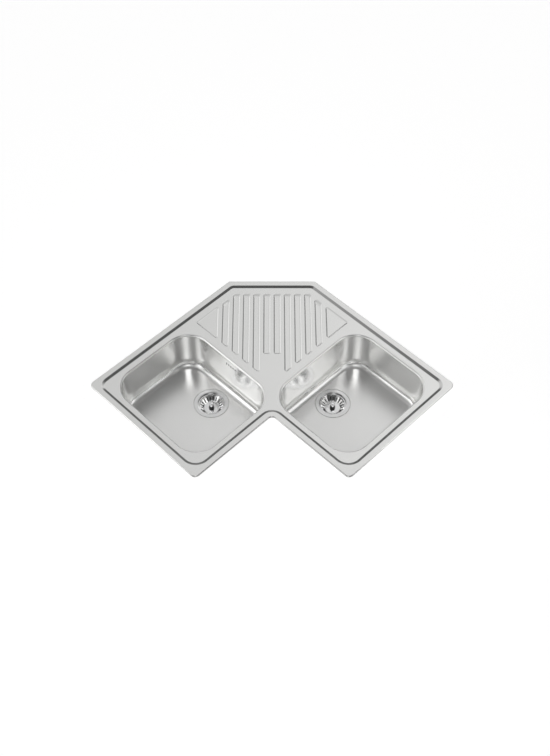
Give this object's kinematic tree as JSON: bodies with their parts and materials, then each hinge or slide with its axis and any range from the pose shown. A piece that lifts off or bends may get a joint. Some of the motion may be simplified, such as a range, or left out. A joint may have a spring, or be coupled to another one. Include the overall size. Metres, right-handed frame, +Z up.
{
  "type": "corner kitchen sink",
  "caption": "Inset corner kitchen sink with two bowls, a ribbed corner drainer, lift-out basket strainers, an overflow and rim clips.",
  "frame": {"origin": "on the worktop surface under the rim seal, at the middle of the rear chamfer", "axes": "+Z up out of the worktop, +X along the right-hand wall, -Y along the left-hand wall, both away from the room corner"},
  "size_m": [0.83, 0.83, 0.228],
  "materials": {
    "steel": "satin pressed stainless sheet",
    "bright_steel": "bright stainless",
    "chrome": "bright chrome",
    "zinc": "zinc-plated steel",
    "rubber": "black rubber",
    "seal_foam": "grey closed-cell foam",
    "white_gasket": "white gasket",
    "bitumen": "textured damping sheet",
    "waste_plastic": "white polypropylene"
  },
  "bodies": {
    "sink": {"sink_deck": "steel", "rim_seal": "seal_foam", "left_bowl": "steel", "right_bowl": "steel", "left_sound_pad": "bitumen", "right_sound_pad": "bitumen", "left_waste_flange": "bright_steel", "left_flange_gasket": "white_gasket", "left_body_gasket": "rubber", "left_waste_body": "waste_plastic", "left_waste_screw": "bright_steel", "right_waste_flange": "bright_steel", "right_flange_gasket": "white_gasket", "right_body_gasket": "rubber", "right_waste_body": "waste_plastic", "right_waste_screw": "bright_steel", "overflow_gasket": "rubber", "overflow_housing": "waste_plastic", "overflow_pipe": "waste_plastic", "overflow_studs": "zinc", "overflow_nuts": "zinc", "clip_brackets": "zinc"},
    "left_basket": {"left_basket": "bright_steel", "left_basket_knob": "chrome", "left_knob_collar": "rubber", "left_plug": "rubber"},
    "right_basket": {"right_basket": "bright_steel", "right_basket_knob": "chrome", "right_knob_collar": "rubber", "right_plug": "rubber"},
    "clip_1_screw": {"clip_1_screw": "zinc"},
    "clip_1_nut": {"clip_1_nut": "zinc"},
    "clip_1_jaw": {"clip_1_jaw": "zinc"},
    "clip_2_screw": {"clip_2_screw": "zinc"},
    "clip_2_nut": {"clip_2_nut": "zinc"},
    "clip_2_jaw": {"clip_2_jaw": "zinc"},
    "clip_3_screw": {"clip_3_screw": "zinc"},
    "clip_3_nut": {"clip_3_nut": "zinc"},
    "clip_3_jaw": {"clip_3_jaw": "zinc"},
    "clip_4_screw": {"clip_4_screw": "zinc"},
    "clip_4_nut": {"clip_4_nut": "zinc"},
    "clip_4_jaw": {"clip_4_jaw": "zinc"},
    "clip_5_screw": {"clip_5_screw": "zinc"},
    "clip_5_nut": {"clip_5_nut": "zinc"},
    "clip_5_jaw": {"clip_5_jaw": "zinc"},
    "clip_6_screw": {"clip_6_screw": "zinc"},
    "clip_6_nut": {"clip_6_nut": "zinc"},
    "clip_6_jaw": {"clip_6_jaw": "zinc"},
    "clip_7_screw": {"clip_7_screw": "zinc"},
    "clip_7_nut": {"clip_7_nut": "zinc"},
    "clip_7_jaw": {"clip_7_jaw": "zinc"},
    "clip_8_screw": {"clip_8_screw": "zinc"},
    "clip_8_nut": {"clip_8_nut": "zinc"},
    "clip_8_jaw": {"clip_8_jaw": "zinc"}
  },
  "joints": [
    {"name": "left_basket_lift", "type": "slide", "parent": "sink", "child": "left_basket", "axis": [0, 0, 1], "range_m": [0, 0.18]},
    {"name": "right_basket_lift", "type": "slide", "parent": "sink", "child": "right_basket", "axis": [0, 0, 1], "range_m": [0, 0.18]},
    {"name": "clip_1_turn", "type": "hinge", "parent": "sink", "child": "clip_1_screw", "pos_m": [0.19084, 0.07916, 0], "axis": [0, 0, 1], "range_deg": [0, 10805]},
    {"name": "clip_1_climb", "type": "slide", "parent": "sink", "child": "clip_1_nut", "axis": [0, 0, 1], "range_m": [0, 0.024]},
    {"name": "clip_1_swing", "type": "hinge", "parent": "clip_1_nut", "child": "clip_1_jaw", "pos_m": [0.19084, 0.07916, 0], "axis": [0, 0, 1], "range_deg": [0, 90]},
    {"name": "clip_2_turn", "type": "hinge", "parent": "sink", "child": "clip_2_screw", "pos_m": [0.58084, 0.07916, 0], "axis": [0, 0, 1], "range_deg": [0, 10805]},
    {"name": "clip_2_climb", "type": "slide", "parent": "sink", "child": "clip_2_nut", "axis": [0, 0, 1], "range_m": [0, 0.024]},
    {"name": "clip_2_swing", "type": "hinge", "parent": "clip_2_nut", "child": "clip_2_jaw", "pos_m": [0.58084, 0.07916, 0], "axis": [0, 0, 1], "range_deg": [0, 90]},
    {"name": "clip_3_turn", "type": "hinge", "parent": "sink", "child": "clip_3_screw", "pos_m": [0.69084, -0.14084, 0], "axis": [0, 0, 1], "range_deg": [0, 10805]},
    {"name": "clip_3_climb", "type": "slide", "parent": "sink", "child": "clip_3_nut", "axis": [0, 0, 1], "range_m": [0, 0.024]},
    {"name": "clip_3_swing", "type": "hinge", "parent": "clip_3_nut", "child": "clip_3_jaw", "pos_m": [0.69084, -0.14084, 0], "axis": [0, 0, 1], "range_deg": [0, 90]},
    {"name": "clip_4_turn", "type": "hinge", "parent": "sink", "child": "clip_4_screw", "pos_m": [0.55584, -0.36084, 0], "axis": [0, 0, 1], "range_deg": [0, 10805]},
    {"name": "clip_4_climb", "type": "slide", "parent": "sink", "child": "clip_4_nut", "axis": [0, 0, 1], "range_m": [0, 0.024]},
    {"name": "clip_4_swing", "type": "hinge", "parent": "clip_4_nut", "child": "clip_4_jaw", "pos_m": [0.55584, -0.36084, 0], "axis": [0, 0, 1], "range_deg": [0, 90]},
    {"name": "clip_5_turn", "type": "hinge", "parent": "sink", "child": "clip_5_screw", "pos_m": [-0.07916, -0.19084, 0], "axis": [0, 0, 1], "range_deg": [0, 10805]},
    {"name": "clip_5_climb", "type": "slide", "parent": "sink", "child": "clip_5_nut", "axis": [0, 0, 1], "range_m": [0, 0.024]},
    {"name": "clip_5_swing", "type": "hinge", "parent": "clip_5_nut", "child": "clip_5_jaw", "pos_m": [-0.07916, -0.19084, 0], "axis": [0, 0, 1], "range_deg": [0, 90]},
    {"name": "clip_6_turn", "type": "hinge", "parent": "sink", "child": "clip_6_screw", "pos_m": [-0.07916, -0.58084, 0], "axis": [0, 0, 1], "range_deg": [0, 10805]},
    {"name": "clip_6_climb", "type": "slide", "parent": "sink", "child": "clip_6_nut", "axis": [0, 0, 1], "range_m": [0, 0.024]},
    {"name": "clip_6_swing", "type": "hinge", "parent": "clip_6_nut", "child": "clip_6_jaw", "pos_m": [-0.07916, -0.58084, 0], "axis": [0, 0, 1], "range_deg": [0, 90]},
    {"name": "clip_7_turn", "type": "hinge", "parent": "sink", "child": "clip_7_screw", "pos_m": [0.14084, -0.69084, 0], "axis": [0, 0, 1], "range_deg": [0, 10805]},
    {"name": "clip_7_climb", "type": "slide", "parent": "sink", "child": "clip_7_nut", "axis": [0, 0, 1], "range_m": [0, 0.024]},
    {"name": "clip_7_swing", "type": "hinge", "parent": "clip_7_nut", "child": "clip_7_jaw", "pos_m": [0.14084, -0.69084, 0], "axis": [0, 0, 1], "range_deg": [0, 90]},
    {"name": "clip_8_turn", "type": "hinge", "parent": "sink", "child": "clip_8_screw", "pos_m": [0.36084, -0.55584, 0], "axis": [0, 0, 1], "range_deg": [0, 10805]},
    {"name": "clip_8_climb", "type": "slide", "parent": "sink", "child": "clip_8_nut", "axis": [0, 0, 1], "range_m": [0, 0.024]},
    {"name": "clip_8_swing", "type": "hinge", "parent": "clip_8_nut", "child": "clip_8_jaw", "pos_m": [0.36084, -0.55584, 0], "axis": [0, 0, 1], "range_deg": [0, 90]}
  ],
  "couplings": [
    {"joint": "clip_1_turn", "follows": "clip_1_climb", "rad_per_m": 7854},
    {"joint": "clip_2_turn", "follows": "clip_2_climb", "rad_per_m": 7854},
    {"joint": "clip_3_turn", "follows": "clip_3_climb", "rad_per_m": 7854},
    {"joint": "clip_4_turn", "follows": "clip_4_climb", "rad_per_m": 7854},
    {"joint": "clip_5_turn", "follows": "clip_5_climb", "rad_per_m": 7854},
    {"joint": "clip_6_turn", "follows": "clip_6_climb", "rad_per_m": 7854},
    {"joint": "clip_7_turn", "follows": "clip_7_climb", "rad_per_m": 7854},
    {"joint": "clip_8_turn", "follows": "clip_8_climb", "rad_per_m": 7854}
  ]
}
